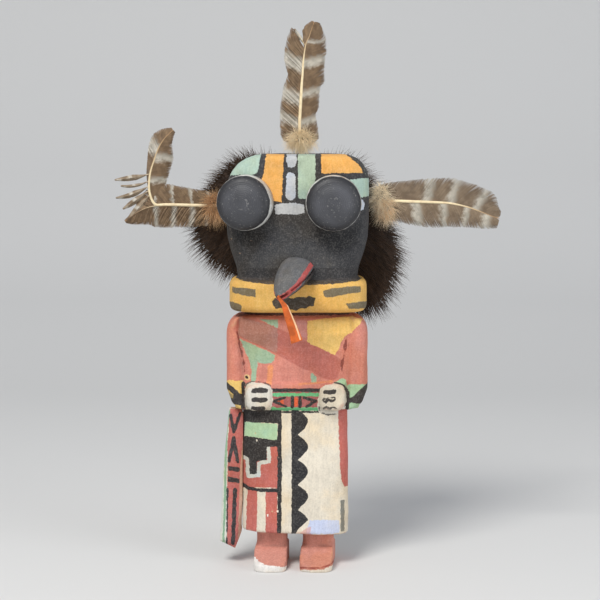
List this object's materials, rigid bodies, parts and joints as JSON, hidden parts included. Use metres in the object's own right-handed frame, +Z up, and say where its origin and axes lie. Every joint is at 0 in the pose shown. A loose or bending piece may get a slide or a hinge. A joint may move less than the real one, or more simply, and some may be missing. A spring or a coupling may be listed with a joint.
{
  "type": "kachina doll",
  "caption": "Carved and painted wooden doll with a square-crowned head, round eyes, a hooked beak, a kilt, a hip sash, barred feathers and a fur strip, standing on its feet.",
  "frame": {"origin": "on the floor, under the middle of the whole doll's bounding box", "axes": "+Z up through the crown, the doll faces -Y, and +X is to the viewer's right"},
  "size_m": [0.1792, 0.0638, 0.2596],
  "materials": {
    "painted_wood": "matte",
    "eye_paint": "matte",
    "beak_paint": "matte",
    "leather": "matte",
    "sash_paint": "matte",
    "feather": "satin",
    "fur": "matte"
  },
  "bodies": {
    "root": {"carved_figure": "painted_wood", "left_eye": "eye_paint", "right_eye": "eye_paint", "beak": "beak_paint", "tongue": "leather", "hip_sash": "sash_paint", "crown_feather": "feather", "left_feather": "feather", "right_feather": "feather", "fur_strip": "fur"}
  },
  "joints": []
}
